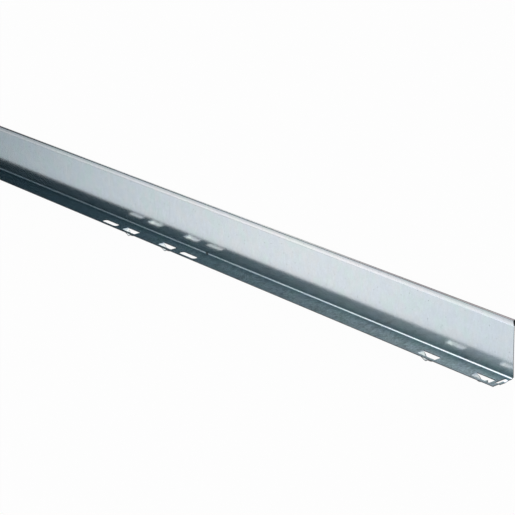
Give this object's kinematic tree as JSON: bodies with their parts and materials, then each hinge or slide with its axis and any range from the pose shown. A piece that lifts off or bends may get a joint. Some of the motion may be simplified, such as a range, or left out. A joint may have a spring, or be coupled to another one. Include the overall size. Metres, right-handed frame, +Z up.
{
  "type": "cable tray divider",
  "caption": "Zinc coated steel L-section divider for a cable tray, with a hemmed top edge, fixing slots and hook tongues bent down out of its flange.",
  "frame": {"origin": "on the floor below the middle of the divider as it lies on the back of its web: halfway along its length, and halfway between the hem's top and the hook tongues' lowest point", "axes": "+X along the length to the right end, which has the slit strip; +Y up the web from the flange to the hem; +Z up from the floor, along the flange to its free edge"},
  "size_m": [2, 0.065, 0.0271],
  "materials": {
    "galvanised_steel": "bare zinc coating, satin, bluish grey, finely speckled"
  },
  "bodies": {
    "root": {"divider_profile": "galvanised_steel"}
  },
  "joints": []
}
